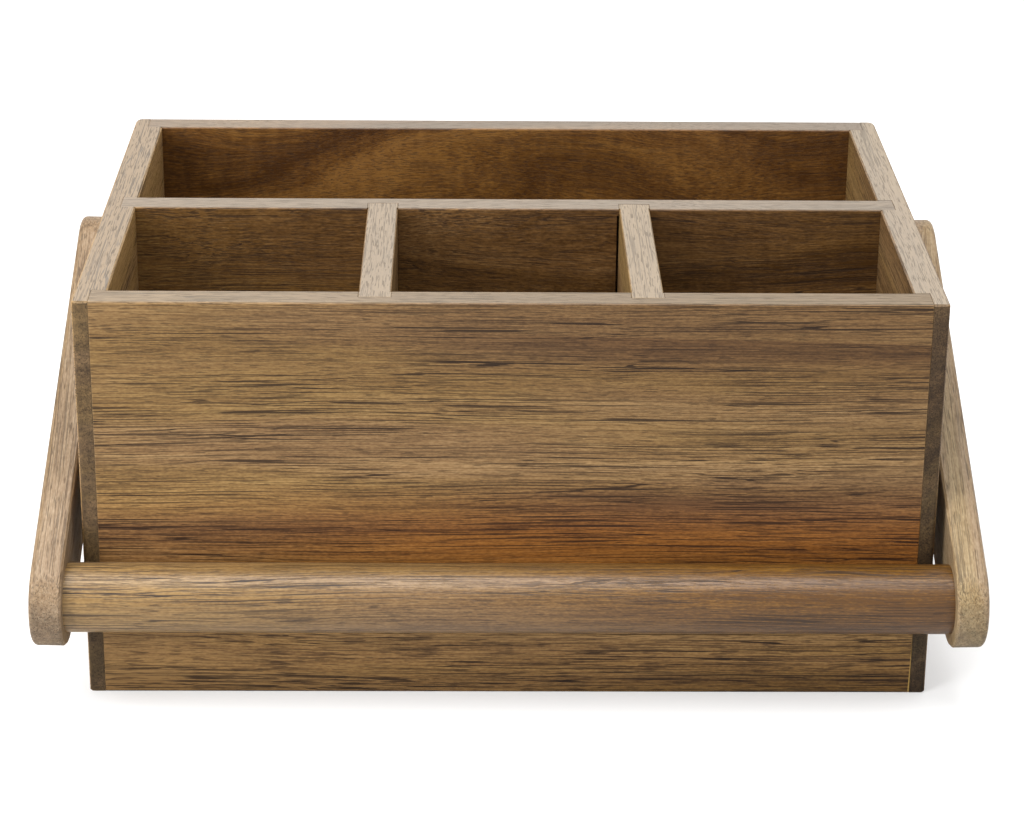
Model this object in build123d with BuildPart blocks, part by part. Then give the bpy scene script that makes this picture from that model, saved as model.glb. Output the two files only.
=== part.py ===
"""Wooden utensil caddy: an open box of boards with a low drawer and a swing-over handle.

The origin is at the middle of the underside. +X runs to the right along the front, +Y to the
back, where the drawer opens, and +Z up. The handle is folded down over the front board.
"""
import os

from build123d import *

os.makedirs("parts", exist_ok=True)

# ---- driving dimensions, mm --------------------------------------------------------------
# box
WIDTH = 320
DEPTH = 220
HEIGHT = 160
BOARD = 12  # sides, front, back and dividers are all of one thickness
LIP = 6  # what the corner rabbets leave of a side panel
HOUSING = 6  # depth of the housings that hold the dividers
MIDDLE_COMPARTMENT = 88  # clear width between the two small dividers
FLOOR_BOARD = 8
FLOOR_GROOVE = 5
BASE_BOARD = 8
FLOOR_UNDERSIDE = 56  # height of the drawer's bay above the table
FRONT_CORNER_RADIUS = 1.5
BACK_CORNER_RADIUS = 3
EDGE_BEVEL = 0.7  # along the outer edges of the boards
OPENING_EASE = 0.6  # bevel round the mouth of each compartment
LOOSE_FIT = 0.8  # beside the right small divider, where its housing was cut too wide
LOOSE_FIT_START = 3  # below the rim

# drawer
DRAWER_REVEAL = 0.8  # gap all round the drawer front
DRAWER_PLAY = 0.8  # sideways, between the drawer and the side panels
DRAWER_BOARD = 8
DRAWER_BOTTOM = 4
DRAWER_BOTTOM_LIFT = 3.3  # from the drawer's lower edge to its bottom panel
DRAWER_SEAT_GAP = 0.3  # behind the shut drawer front
DRAWER_REAR_GAP = 6  # behind the shut drawer
DRAWER_FRONT_HOUSING = 5
DRAWER_SIDE_HOUSING = 4
RAIL_DEPTH = 4  # how far the back board hangs below the floor
RUNNER_WIDTH = 10
RUNNER_HEIGHT = 3
RUNNING_GAP = 0.2
CATCH_GAP = 0.6  # above the raised rear board that keeps the drawer in
STOP_LENGTH = 120
STOP_WIDTH = 8
STOP_SETBACK = 42  # from the opening to the stop
NOTCH_WIDTH = 56
NOTCH_DEPTH = 14
NOTCH_CORNER_RADIUS = 4

# handle and its pivots
ARM_THICKNESS = 12
ARM_END_RADIUS = 18
ARM_OUTER_RADIUS = 2  # round the outline of its outer face
ARM_INNER_BEVEL = 0.8
SPLAY = 3.4  # how much farther out an arm is at the bar than at its pivot
ARM_EDGE_PLAY = 1  # how far a cut starts outside the leaning faces
PIVOT_Y = 16  # just behind the long divider
PIVOT_Z = 129
BAR_RADIUS = 13
BAR_REST_GAP = 0.7  # from the folded bar to the front board
BAR_REST_Z = 47.4
TENON_RADIUS = 8
TENON_LENGTH = 7
WASHER_THICKNESS = 0.8
WASHER_RADIUS = 8
SHOULDER_RADIUS = 4
RUNNING_CLEARANCE = 0.05  # radial, between the bolt's shoulder and the arm
HEAD_POCKET_RADIUS = 9
HEAD_POCKET_DEPTH = 3
HEAD_RADIUS = 8
HEAD_THICKNESS = 2.4
THREAD_RADIUS = 3
THREAD_HOLE_RADIUS = 3.2
BARREL_LENGTH = 9
FLANGE_RADIUS = 7.5
FLANGE_THICKNESS = 2
SCREW_RADIUS = 2.2
SCREW_HEAD_RADIUS = 4.5
SCREW_LENGTH = 45
SCREW_TIP = 6
SCREW_SINK = 0.15  # from the arm's outer face down to the screw's head

# ---- worked-out planes of the box --------------------------------------------------------
side_out = WIDTH / 2
side_in = side_out - BOARD
rabbet_x = side_out - LIP
back_out = DEPTH / 2
back_in = back_out - BOARD
front_out = -back_out
front_in = -back_in
floor_top = FLOOR_UNDERSIDE + FLOOR_BOARD
rail_z = FLOOR_UNDERSIDE - RAIL_DEPTH
divider_face = BOARD / 2
divider_x = MIDDLE_COMPARTMENT / 2 + BOARD / 2
groove_x = side_in + FLOOR_GROOVE
groove_y = back_in + FLOOR_GROOVE
openings = [
    ((-side_in, side_in), (divider_face, back_in)),
    ((-side_in, -divider_x - BOARD / 2), (front_in, -divider_face)),
    ((-divider_x + BOARD / 2, divider_x - BOARD / 2), (front_in, -divider_face)),
    ((divider_x + BOARD / 2, side_in), (front_in, -divider_face)),
]


def span(across, along):
    """Draw the rectangle between two pairs of lines in the sketch that is open."""
    with Locations((sum(across) / 2, sum(along) / 2)):
        Rectangle(across[1] - across[0], along[1] - along[0])


def both_sides(near, far):
    """The two spans from near to far, right and left of the middle."""
    return [(near, far), (-far, -near)]


def ease_openings():
    """Bevel the open part's rim where it borders the mouths of the compartments."""
    with BuildSketch(Plane.XY.offset(HEIGHT - OPENING_EASE)) as mouths:
        for across, along in openings:
            span(across, along)
    extrude(mouths.sketch, amount=OPENING_EASE, taper=-45, mode=Mode.SUBTRACT)


# ---- side panels: full depth, rabbeted for the front and back boards ----------------------
with BuildPart() as right_side:
    with BuildSketch(Plane.XY):
        with BuildLine():
            Polyline(
                (side_out, front_out),
                (side_out, back_out),
                (rabbet_x, back_out),
                (rabbet_x, back_in),
                (side_in, back_in),
                (side_in, front_in),
                (rabbet_x, front_in),
                (rabbet_x, front_out),
                close=True,
            )
        make_face()
    extrude(amount=HEIGHT)
    # housing for the end of the long divider
    with BuildSketch(Plane.XY.offset(floor_top)):
        span((side_in, side_in + HOUSING), (-divider_face, divider_face))
    extrude(amount=HEIGHT - floor_top, mode=Mode.SUBTRACT)
    # groove for the compartment floor
    with BuildSketch(Plane.XY.offset(FLOOR_UNDERSIDE)):
        span((side_in, groove_x), (front_in, back_in))
    extrude(amount=FLOOR_BOARD, mode=Mode.SUBTRACT)
    # rabbet for the base board
    with BuildSketch(Plane.XY):
        span((side_in, rabbet_x), (front_in, back_in))
    extrude(amount=BASE_BOARD, mode=Mode.SUBTRACT)
    # stepped hole: the bolt's thread from outside, the sleeve nut's barrel from inside
    with BuildSketch(Plane.YZ.offset(side_in)):
        with Locations((PIVOT_Y, PIVOT_Z)):
            Circle(SHOULDER_RADIUS)
    extrude(amount=BARREL_LENGTH, mode=Mode.SUBTRACT)
    with BuildSketch(Plane.YZ.offset(side_in + BARREL_LENGTH)):
        with Locations((PIVOT_Y, PIVOT_Z)):
            Circle(THREAD_HOLE_RADIUS)
    extrude(amount=BOARD - BARREL_LENGTH, mode=Mode.SUBTRACT)
    # rounded corners, then the bevelled edges above and below
    corners = right_side.edges().filter_by(Axis.Z).group_by(Axis.X)[-1].sort_by(Axis.Y)
    fillet(corners[-1], BACK_CORNER_RADIUS)
    corners = right_side.edges().filter_by(Axis.Z).group_by(Axis.X)[-1].sort_by(Axis.Y)
    fillet(corners[0], FRONT_CORNER_RADIUS)
    for face in (right_side.faces().sort_by(Axis.Z)[-1], right_side.faces().sort_by(Axis.Z)[0]):
        outer_edges = face.edges().filter_by(lambda edge: edge.center().X > rabbet_x + EDGE_BEVEL)
        chamfer(outer_edges, EDGE_BEVEL)
    ease_openings()

with BuildPart() as left_side:
    mirror(right_side.part, about=Plane.YZ)

# ---- front board: one piece from the rim to the table -------------------------------------
with BuildPart() as front_board:
    with BuildSketch(Plane.XY):
        span((-rabbet_x, rabbet_x), (front_out, front_in))
    extrude(amount=HEIGHT)
    with BuildSketch(Plane.XY.offset(floor_top)):
        for x in (-divider_x, divider_x):
            span((x - BOARD / 2, x + BOARD / 2), (front_in - HOUSING, front_in))
    extrude(amount=HEIGHT - floor_top, mode=Mode.SUBTRACT)
    with BuildSketch(Plane.XY.offset(FLOOR_UNDERSIDE)):
        span((-rabbet_x, rabbet_x), (-groove_y, front_in))
    extrude(amount=FLOOR_BOARD, mode=Mode.SUBTRACT)
    with BuildSketch(Plane.XY):
        span((-rabbet_x, rabbet_x), (front_in - HOUSING, front_in))
    extrude(amount=BASE_BOARD, mode=Mode.SUBTRACT)
    outer_edges = front_board.edges().filter_by(Axis.X).group_by(Axis.Y)[0]
    chamfer(outer_edges, EDGE_BEVEL)
    ease_openings()

# ---- back board: stops above the drawer as its top rail -----------------------------------
with BuildPart() as back_board:
    with BuildSketch(Plane.XY.offset(rail_z)):
        span((-rabbet_x, rabbet_x), (back_in, back_out))
    extrude(amount=HEIGHT - rail_z)
    with BuildSketch(Plane.XY.offset(FLOOR_UNDERSIDE)):
        span((-rabbet_x, rabbet_x), (back_in, groove_y))
    extrude(amount=FLOOR_BOARD, mode=Mode.SUBTRACT)
    outer_edges = back_board.edges().filter_by(Axis.X).group_by(Axis.Y)[-1]
    chamfer(outer_edges, EDGE_BEVEL)
    ease_openings()

# ---- long divider: let into both sides, and housed for the small dividers -----------------
with BuildPart() as long_divider:
    with BuildSketch(Plane.XY.offset(floor_top)):
        span((-side_in - HOUSING, side_in + HOUSING), (-divider_face, divider_face))
        for x in (-divider_x, divider_x):
            with Locations((x, (HOUSING - BOARD) / 2)):
                Rectangle(BOARD, HOUSING, mode=Mode.SUBTRACT)
    extrude(amount=HEIGHT - floor_top)
    loose_side = divider_x - BOARD / 2
    with BuildSketch(Plane.XY.offset(floor_top)):
        span((loose_side - LOOSE_FIT, loose_side), (-divider_face, HOUSING - divider_face))
    extrude(amount=HEIGHT - floor_top - LOOSE_FIT_START, mode=Mode.SUBTRACT)
    ease_openings()

# ---- small dividers: from the front board to the long divider -----------------------------
with BuildPart() as left_divider:
    with BuildSketch(Plane.XY.offset(floor_top)):
        span(
            (-divider_x - BOARD / 2, -divider_x + BOARD / 2),
            (front_in - HOUSING, HOUSING - divider_face),
        )
    extrude(amount=HEIGHT - floor_top)
    ease_openings()

with BuildPart() as right_divider:
    mirror(left_divider.part, about=Plane.YZ)

# ---- compartment floor, in grooves all round ----------------------------------------------
with BuildPart() as compartment_floor:
    with BuildSketch(Plane.XY.offset(FLOOR_UNDERSIDE)):
        span((-groove_x, groove_x), (-groove_y, groove_y))
    extrude(amount=FLOOR_BOARD)

# ---- base board, flush below and at the back, where the drawer passes over it -------------
with BuildPart() as base_board:
    with BuildSketch(Plane.XY):
        span((-rabbet_x, rabbet_x), (front_in - HOUSING, back_out))
    extrude(amount=BASE_BOARD)
    chamfer(base_board.edges().filter_by(Axis.X).group_by(Axis.Y)[-1], EDGE_BEVEL)

# ---- runners under the drawer's sides -----------------------------------------------------
runner_top = BASE_BOARD + RUNNER_HEIGHT
with BuildPart() as right_runner:
    with BuildSketch(Plane.XY.offset(BASE_BOARD)):
        span((side_in - RUNNER_WIDTH, side_in), (front_in, back_in))
    extrude(amount=RUNNER_HEIGHT)
    # a lead-in where the drawer comes in
    mouth_edge = right_runner.edges().filter_by(Axis.X).group_by(Axis.Y)[-1].sort_by(Axis.Z)[-1]
    chamfer(mouth_edge, length=RUNNER_HEIGHT / 2, length2=RUNNER_HEIGHT * 2)

with BuildPart() as left_runner:
    mirror(right_runner.part, about=Plane.YZ)

# ---- stop under the floor, which the drawer's raised rear board meets ---------------------
stop_y = back_in - STOP_SETBACK
with BuildPart() as drawer_stop:
    with BuildSketch(Plane.XY.offset(FLOOR_UNDERSIDE)):
        span((-STOP_LENGTH / 2, STOP_LENGTH / 2), (stop_y, stop_y + STOP_WIDTH))
    extrude(amount=-RAIL_DEPTH)
    chamfer(drawer_stop.edges().filter_by(Axis.Z), EDGE_BEVEL)

# ---- worked-out planes of the drawer ------------------------------------------------------
drawer_out = side_in - DRAWER_PLAY
drawer_in = drawer_out - DRAWER_BOARD
drawer_low = runner_top + RUNNING_GAP
drawer_high = rail_z - DRAWER_REVEAL - RUNNING_GAP
drawer_seat = back_in + DRAWER_SEAT_GAP
drawer_rear = front_in + DRAWER_REAR_GAP
rear_board_rear = drawer_rear + RUNNER_HEIGHT
rear_board_face = rear_board_rear + DRAWER_BOARD
panel_low = drawer_low + DRAWER_BOTTOM_LIFT
panel_x = drawer_in + DRAWER_SIDE_HOUSING
panel_rear = rear_board_face - DRAWER_SIDE_HOUSING
panel_front = drawer_seat + DRAWER_SIDE_HOUSING
front_x = rabbet_x - DRAWER_REVEAL
front_low = BASE_BOARD + DRAWER_REVEAL
front_high = rail_z - DRAWER_REVEAL
print("drawer travel to its stop, mm:", round(stop_y - rear_board_face, 1))

# ---- drawer front, with a finger notch in its upper edge ----------------------------------
with BuildPart() as drawer_front:
    with BuildSketch(Plane.XZ.offset(-back_out)) as front_outline:
        span((-front_x, front_x), (front_low, front_high))
        with Locations((0, front_high)):
            SlotOverall(NOTCH_WIDTH, 2 * NOTCH_DEPTH, mode=Mode.SUBTRACT)
        mouth = front_outline.vertices().group_by(Axis.Z)[-1].filter_by(
            lambda vertex: abs(vertex.X) < NOTCH_WIDTH
        )
        fillet(mouth, NOTCH_CORNER_RADIUS)
    extrude(amount=back_out - drawer_seat)
    # bevel every edge of the outer face, round the notch as well
    chamfer(drawer_front.faces().sort_by(Axis.Y)[-1].edges(), EDGE_BEVEL)
    # housings for the drawer's sides
    with BuildSketch(Plane.XY.offset(drawer_low)):
        for across in both_sides(drawer_in, drawer_out):
            span(across, (drawer_seat, drawer_seat + DRAWER_FRONT_HOUSING))
    extrude(amount=drawer_high - drawer_low, mode=Mode.SUBTRACT)
    # groove for the bottom panel
    with BuildSketch(Plane.XY.offset(panel_low)):
        span((-drawer_in, drawer_in), (drawer_seat, panel_front))
    extrude(amount=DRAWER_BOTTOM, mode=Mode.SUBTRACT)

# ---- drawer sides -------------------------------------------------------------------------
with BuildPart() as drawer_right_side:
    with BuildSketch(Plane.XY.offset(drawer_low)):
        span((drawer_in, drawer_out), (drawer_rear, drawer_seat + DRAWER_FRONT_HOUSING))
        # housing for the rear board
        with Locations((drawer_in + DRAWER_SIDE_HOUSING / 2, (rear_board_rear + rear_board_face) / 2)):
            Rectangle(DRAWER_SIDE_HOUSING, DRAWER_BOARD, mode=Mode.SUBTRACT)
    extrude(amount=drawer_high - drawer_low)
    with BuildSketch(Plane.XY.offset(panel_low)):
        span((drawer_in, panel_x), (drawer_rear, drawer_seat + DRAWER_FRONT_HOUSING))
    extrude(amount=DRAWER_BOTTOM, mode=Mode.SUBTRACT)

with BuildPart() as drawer_left_side:
    mirror(drawer_right_side.part, about=Plane.YZ)

# ---- drawer's rear board: stands up behind the stop, so that the drawer can't fall out ----
with BuildPart() as drawer_rear_board:
    with BuildSketch(Plane.XY.offset(drawer_low)):
        span((-panel_x, panel_x), (rear_board_rear, rear_board_face))
    extrude(amount=FLOOR_UNDERSIDE - CATCH_GAP - drawer_low)
    with BuildSketch(Plane.XY.offset(panel_low)):
        span((-panel_x, panel_x), (panel_rear, rear_board_face))
    extrude(amount=DRAWER_BOTTOM, mode=Mode.SUBTRACT)
    chamfer(drawer_rear_board.edges().filter_by(Axis.X).group_by(Axis.Z)[-1], EDGE_BEVEL)

# ---- drawer's bottom panel, in grooves all round ------------------------------------------
with BuildPart() as drawer_bottom:
    with BuildSketch(Plane.XY.offset(panel_low)):
        span((-panel_x, panel_x), (panel_rear, panel_front))
    extrude(amount=DRAWER_BOTTOM)

# ---- worked-out places of the handle ------------------------------------------------------
pivot_x = side_out + WASHER_THICKNESS + RUNNING_GAP  # an arm's inner face at its pivot
pocket_x = pivot_x + ARM_THICKNESS - HEAD_POCKET_DEPTH
shoulder_x = pivot_x + SPLAY  # the same face at the bar
screw_head_x = shoulder_x + ARM_THICKNESS - SCREW_SINK
bar_y = front_out - BAR_REST_GAP - BAR_RADIUS
pivot = Vector(pivot_x, PIVOT_Y, PIVOT_Z)
bar_end = Vector(shoulder_x, bar_y, BAR_REST_Z)
arm_way = bar_end - pivot
arm_width_way = Vector(1, 0, 0).cross(arm_way)
arm_plane = Plane(origin=pivot, x_dir=arm_way, z_dir=arm_way.cross(arm_width_way))
print("handle from pivot to bar, mm:", round(arm_way.length, 1))
print("lean of an arm, degrees:", round(90 - arm_way.get_angle(Vector(1, 0, 0)), 2))
pivot_line = Plane(origin=(0, PIVOT_Y, PIVOT_Z), x_dir=(1, 0, 0), z_dir=(0, -1, 0))
pivot_axis = Axis((0, PIVOT_Y, PIVOT_Z), (1, 0, 0))
bar_line = Plane(origin=(0, bar_y, BAR_REST_Z), x_dir=(1, 0, 0), z_dir=(0, -1, 0))
bar_axis = Axis((0, bar_y, BAR_REST_Z), (1, 0, 0))


def bore(x, at, radius, length):
    """Cut a round hole along X into the open part, from x outwards."""
    with BuildSketch(Plane.YZ.offset(x)) as mouth:
        with Locations(at):
            Circle(radius)
    extrude(mouth.sketch, amount=length, mode=Mode.SUBTRACT)


# ---- handle arms: round-ended bars of board, leaning out a little towards the bar ---------
with BuildPart() as right_arm:
    with BuildSketch(arm_plane):
        with Locations((arm_way.length / 2, 0)):
            SlotCenterToCenter(arm_way.length, 2 * ARM_END_RADIUS)
    extrude(amount=ARM_THICKNESS)
    broad_faces = right_arm.faces().sort_by(SortBy.AREA)[-2:].sort_by(Axis.X)
    fillet(broad_faces[1].edges(), ARM_OUTER_RADIUS)
    broad_faces = right_arm.faces().sort_by(SortBy.AREA)[-2:].sort_by(Axis.X)
    chamfer(broad_faces[0].edges(), ARM_INNER_BEVEL)
    # pivot bore, and a pocket that hides the bolt's head
    through = ARM_THICKNESS + 2 * ARM_EDGE_PLAY
    bore(pivot_x - ARM_EDGE_PLAY, (PIVOT_Y, PIVOT_Z), SHOULDER_RADIUS + RUNNING_CLEARANCE, through)
    bore(pocket_x, (PIVOT_Y, PIVOT_Z), HEAD_POCKET_RADIUS, HEAD_POCKET_DEPTH + ARM_EDGE_PLAY)
    # socket for the bar's tenon, and the countersunk screw hole behind it
    bore(shoulder_x - ARM_EDGE_PLAY, (bar_y, BAR_REST_Z), TENON_RADIUS, TENON_LENGTH + ARM_EDGE_PLAY)
    with Locations(Plane(origin=(screw_head_x, bar_y, BAR_REST_Z), z_dir=(1, 0, 0))):
        CounterSinkHole(radius=SCREW_RADIUS, counter_sink_radius=SCREW_HEAD_RADIUS)
    bore(screw_head_x, (bar_y, BAR_REST_Z), SCREW_HEAD_RADIUS, SCREW_SINK + ARM_EDGE_PLAY)

with BuildPart() as left_arm:
    mirror(right_arm.part, about=Plane.YZ)

# ---- handle bar: turned, its shoulders cut to the arms' lean, with a tenon at each end -----
tenon_end = shoulder_x + TENON_LENGTH
screw_tip_x = screw_head_x - SCREW_LENGTH
with BuildPart() as handle_bar:
    with BuildSketch(Plane.YZ):
        with Locations((bar_y, BAR_REST_Z)):
            Circle(BAR_RADIUS)
    extrude(amount=tenon_end)
    split(bisect_by=arm_plane, keep=Keep.BOTTOM)
    with BuildSketch(Plane.YZ):
        with Locations((bar_y, BAR_REST_Z)):
            Circle(TENON_RADIUS)
    extrude(amount=tenon_end)
    # pilot hole for the screw
    bore(screw_tip_x, (bar_y, BAR_REST_Z), SCREW_RADIUS, SCREW_LENGTH)
    mirror(about=Plane.YZ)

# ---- bar screws: countersunk, one through each arm ----------------------------------------
head_cone = SCREW_HEAD_RADIUS - SCREW_RADIUS
with BuildPart() as bar_screws:
    with BuildSketch(bar_line):
        with BuildLine():
            Polyline(
                (screw_tip_x, 0),
                (screw_tip_x + SCREW_TIP, SCREW_RADIUS),
                (screw_head_x - head_cone, SCREW_RADIUS),
                (screw_head_x, SCREW_HEAD_RADIUS),
                (screw_head_x, 0),
                close=True,
            )
        make_face()
    revolve(axis=bar_axis)
    mirror(about=Plane.YZ)

# ---- pivot bolts: a smooth shoulder that the arm turns on, then the thread ----------------
head_seat = pocket_x + RUNNING_GAP
bolt_end = side_in - FLANGE_THICKNESS / 2
with BuildPart() as pivot_bolts:
    with BuildSketch(pivot_line):
        with BuildLine():
            Polyline(
                (head_seat + HEAD_THICKNESS, 0),
                (bolt_end, 0),
                (bolt_end, THREAD_RADIUS),
                (side_out, THREAD_RADIUS),
                (side_out, SHOULDER_RADIUS),
                (head_seat, SHOULDER_RADIUS),
                (head_seat, HEAD_RADIUS),
                (head_seat + HEAD_THICKNESS, HEAD_RADIUS),
                close=True,
            )
        make_face()
    revolve(axis=pivot_axis)
    mirror(about=Plane.YZ)

# ---- sleeve nuts: barrel in the side panel, flange inside the back compartment -------------
with BuildPart() as sleeve_nuts:
    with BuildSketch(pivot_line):
        with BuildLine():
            Polyline(
                (side_in - FLANGE_THICKNESS, 0),
                (bolt_end, 0),
                (bolt_end, THREAD_RADIUS),
                (side_in + BARREL_LENGTH, THREAD_RADIUS),
                (side_in + BARREL_LENGTH, SHOULDER_RADIUS),
                (side_in, SHOULDER_RADIUS),
                (side_in, FLANGE_RADIUS),
                (side_in - FLANGE_THICKNESS, FLANGE_RADIUS),
                close=True,
            )
        make_face()
    revolve(axis=pivot_axis)
    mirror(about=Plane.YZ)

# ---- spacer washers between the arms and the side panels ----------------------------------
with BuildPart() as spacer_washers:
    with BuildSketch(Plane.YZ.offset(side_out)):
        with Locations((PIVOT_Y, PIVOT_Z)):
            Circle(WASHER_RADIUS)
            Circle(SHOULDER_RADIUS + RUNNING_CLEARANCE, mode=Mode.SUBTRACT)
    extrude(amount=WASHER_THICKNESS)
    mirror(about=Plane.YZ)

# ---- one file for each piece or group of like fasteners -----------------------------------
pieces = {
    "front_board": front_board,
    "back_board": back_board,
    "left_side": left_side,
    "right_side": right_side,
    "long_divider": long_divider,
    "left_divider": left_divider,
    "right_divider": right_divider,
    "compartment_floor": compartment_floor,
    "base_board": base_board,
    "left_runner": left_runner,
    "right_runner": right_runner,
    "drawer_stop": drawer_stop,
    "drawer_front": drawer_front,
    "drawer_left_side": drawer_left_side,
    "drawer_right_side": drawer_right_side,
    "drawer_rear_board": drawer_rear_board,
    "drawer_bottom": drawer_bottom,
    "left_arm": left_arm,
    "right_arm": right_arm,
    "handle_bar": handle_bar,
    "bar_screws": bar_screws,
    "pivot_bolts": pivot_bolts,
    "sleeve_nuts": sleeve_nuts,
    "spacer_washers": spacer_washers,
}
for name, piece in pieces.items():
    piece.part.label = name
    export_step(piece.part, f"parts/{name}.step")
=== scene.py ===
from math import cos, radians, sin

import bmesh
import bpy
from mathutils import Matrix, Vector


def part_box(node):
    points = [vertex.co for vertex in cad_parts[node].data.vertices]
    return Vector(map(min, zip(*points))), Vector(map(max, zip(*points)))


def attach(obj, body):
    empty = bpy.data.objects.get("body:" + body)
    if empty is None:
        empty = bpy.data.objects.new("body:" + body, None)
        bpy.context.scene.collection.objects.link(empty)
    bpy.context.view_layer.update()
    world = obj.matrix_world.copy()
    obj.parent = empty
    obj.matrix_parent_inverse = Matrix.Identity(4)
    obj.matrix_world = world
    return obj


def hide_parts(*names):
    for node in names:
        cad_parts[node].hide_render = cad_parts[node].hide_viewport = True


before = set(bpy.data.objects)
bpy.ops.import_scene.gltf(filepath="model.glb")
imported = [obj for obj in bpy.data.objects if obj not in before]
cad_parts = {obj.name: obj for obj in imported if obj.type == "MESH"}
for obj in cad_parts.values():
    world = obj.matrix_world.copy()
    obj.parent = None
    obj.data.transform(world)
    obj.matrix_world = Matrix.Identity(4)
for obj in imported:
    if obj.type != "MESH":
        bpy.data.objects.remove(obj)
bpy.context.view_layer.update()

# ---- Studio --------------------------------------------------------------------------------
# A long lens looks a little down on the front. A large white overhead box, a weaker box at the
# left and white surroundings light the caddy, which stands on white paper.
LENS_MM = 100.93
PICTURE_LOW = -0.1001
LOOK_DOWN, LOOK_ASIDE, LEAN = radians(21.273), radians(-0.851), radians(0.531)
CAMERA_PLACE = Vector((-0.0143, -1.0819, 0.5370))

ahead = Matrix.Rotation(LOOK_ASIDE, 3, "Z") @ Vector((0, cos(LOOK_DOWN), -sin(LOOK_DOWN)))
upright = Matrix.Rotation(LOOK_ASIDE, 3, "Z") @ Vector((0, sin(LOOK_DOWN), cos(LOOK_DOWN)))
level = Matrix.Rotation(LOOK_ASIDE, 3, "Z") @ Vector((1, 0, 0))
leaned_level = cos(LEAN) * level + sin(LEAN) * upright
leaned_upright = cos(LEAN) * upright - sin(LEAN) * level

camera = bpy.data.objects.new("camera", bpy.data.cameras.new("camera"))
bpy.context.collection.objects.link(camera)
camera.data.lens = LENS_MM
camera.data.sensor_width = 36
camera.data.shift_y = PICTURE_LOW
camera.data.clip_end = 50
placed = Matrix((leaned_level, leaned_upright, -ahead)).transposed().to_4x4()
placed.translation = CAMERA_PLACE
camera.matrix_world = placed
bpy.context.scene.camera = camera


def light_box(name, place, width, depth, watts, aim):
    """A soft rectangular light that points at one spot."""
    lamp = bpy.data.lights.new(name, "AREA")
    lamp.shape = "RECTANGLE"
    lamp.size, lamp.size_y, lamp.energy = width, depth, watts
    holder = bpy.data.objects.new(name, lamp)
    bpy.context.collection.objects.link(holder)
    holder.location = place
    holder.rotation_euler = (Vector(aim) - Vector(place)).to_track_quat("-Z", "Y").to_euler()


light_box("overhead_box", (-0.12, -0.30, 1.40), 1.2, 1.0, 21, (0, 0, 0.1))
light_box("left_box", (-0.95, -0.85, 0.70), 0.6, 0.7, 13, (-0.05, -0.1, 0.08))

surroundings = bpy.data.worlds.new("surroundings")
bpy.context.scene.world = surroundings
surroundings.use_nodes = True
surroundings.node_tree.nodes["Background"].inputs["Color"].default_value = (1, 1, 1, 1)
surroundings.node_tree.nodes["Background"].inputs["Strength"].default_value = 1.0
bpy.context.scene.view_settings.view_transform = "Standard"

PAPER_HALF = 40.0
corners = [(-PAPER_HALF, -PAPER_HALF, 0), (PAPER_HALF, -PAPER_HALF, 0),
           (PAPER_HALF, PAPER_HALF, 0), (-PAPER_HALF, PAPER_HALF, 0)]
paper_mesh = bpy.data.meshes.new("paper")
paper_mesh.from_pydata(corners, [], [(0, 1, 2, 3)])
paper = bpy.data.objects.new("paper", paper_mesh)
bpy.context.collection.objects.link(paper)
paper_white = bpy.data.materials.new("paper_white")
paper_white.use_nodes = True
paper_shader = paper_white.node_tree.nodes["Principled BSDF"]
paper_shader.inputs["Base Color"].default_value = (0.66, 0.66, 0.66, 1)
paper_shader.inputs["Roughness"].default_value = 0.9
paper_shader.inputs["Specular IOR Level"].default_value = 0.1
paper_mesh.materials.append(paper_white)
# the paper glows faintly for the lens alone, as if it were lit from below
BACKLIGHT = 0.35
seen_by = paper_white.node_tree.nodes.new("ShaderNodeLightPath")
glow = paper_white.node_tree.nodes.new("ShaderNodeMath")
glow.operation = "MULTIPLY"
glow.inputs[1].default_value = BACKLIGHT
paper_white.node_tree.links.new(seen_by.outputs["Is Camera Ray"], glow.inputs[0])
paper_white.node_tree.links.new(glow.outputs[0], paper_shader.inputs["Emission Strength"])
paper_shader.inputs["Emission Color"].default_value = (1, 1, 1, 1)

# ---- Front board ---------------------------------------------------------------------------
# One acacia board from the rim to the table, oiled, its grain running from side to side. Its
# ends sit glued in rabbets of the side panels. All wood of the caddy is the same acacia.


def fitted(tree, kind, feeds, **choices):
    """A node of this kind with its choices set and its inputs fed by values or other sockets."""
    node = tree.nodes.new(kind)
    for choice, value in choices.items():
        setattr(node, choice, value)
    for socket, value in feeds.items():
        if isinstance(value, bpy.types.NodeSocket):
            tree.links.new(value, node.inputs[socket])
        else:
            node.inputs[socket].default_value = value
    return node


def sum_up(tree, operation, first, second=0.0, third=0.0, clamp=False):
    """One step of arithmetic; gives the socket with its result."""
    feeds = {0: first, 1: second, 2: third}
    return fitted(tree, "ShaderNodeMath", feeds, operation=operation, use_clamp=clamp).outputs[0]


def stretch(tree, value, low, high, to_low=0.0, to_high=1.0, kind="SMOOTHSTEP"):
    """Brings value from low..high to to_low..to_high; gives the socket with the result."""
    feeds = {"Value": value, "From Min": low, "From Max": high,
             "To Min": to_low, "To Max": to_high}
    return fitted(tree, "ShaderNodeMapRange", feeds, interpolation_type=kind).outputs[0]


def fleck(tree, place, along, across, seed, detail=2.0, rough=0.5):
    """Noise that is long along the grain and fine across it, in repeats for each metre."""
    scaled = fitted(tree, "ShaderNodeVectorMath", {0: place, 1: (along, across, across)},
                    operation="MULTIPLY").outputs[0]
    moved = fitted(tree, "ShaderNodeVectorMath", {0: scaled, 1: (seed, seed * 1.7, seed * 0.6)},
                   operation="ADD").outputs[0]
    feeds = {"Vector": moved, "Scale": 1.0, "Detail": detail, "Roughness": rough}
    return fitted(tree, "ShaderNodeTexNoise", feeds)


def blend_of(tree, share, first, second, way="MIX"):
    """Mixes two colours by share; gives the socket with the result."""
    feeds = {0: share, 6: first, 7: second}
    return fitted(tree, "ShaderNodeMix", feeds, data_type="RGBA", blend_type=way,
                  clamp_factor=True).outputs[2]


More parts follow.
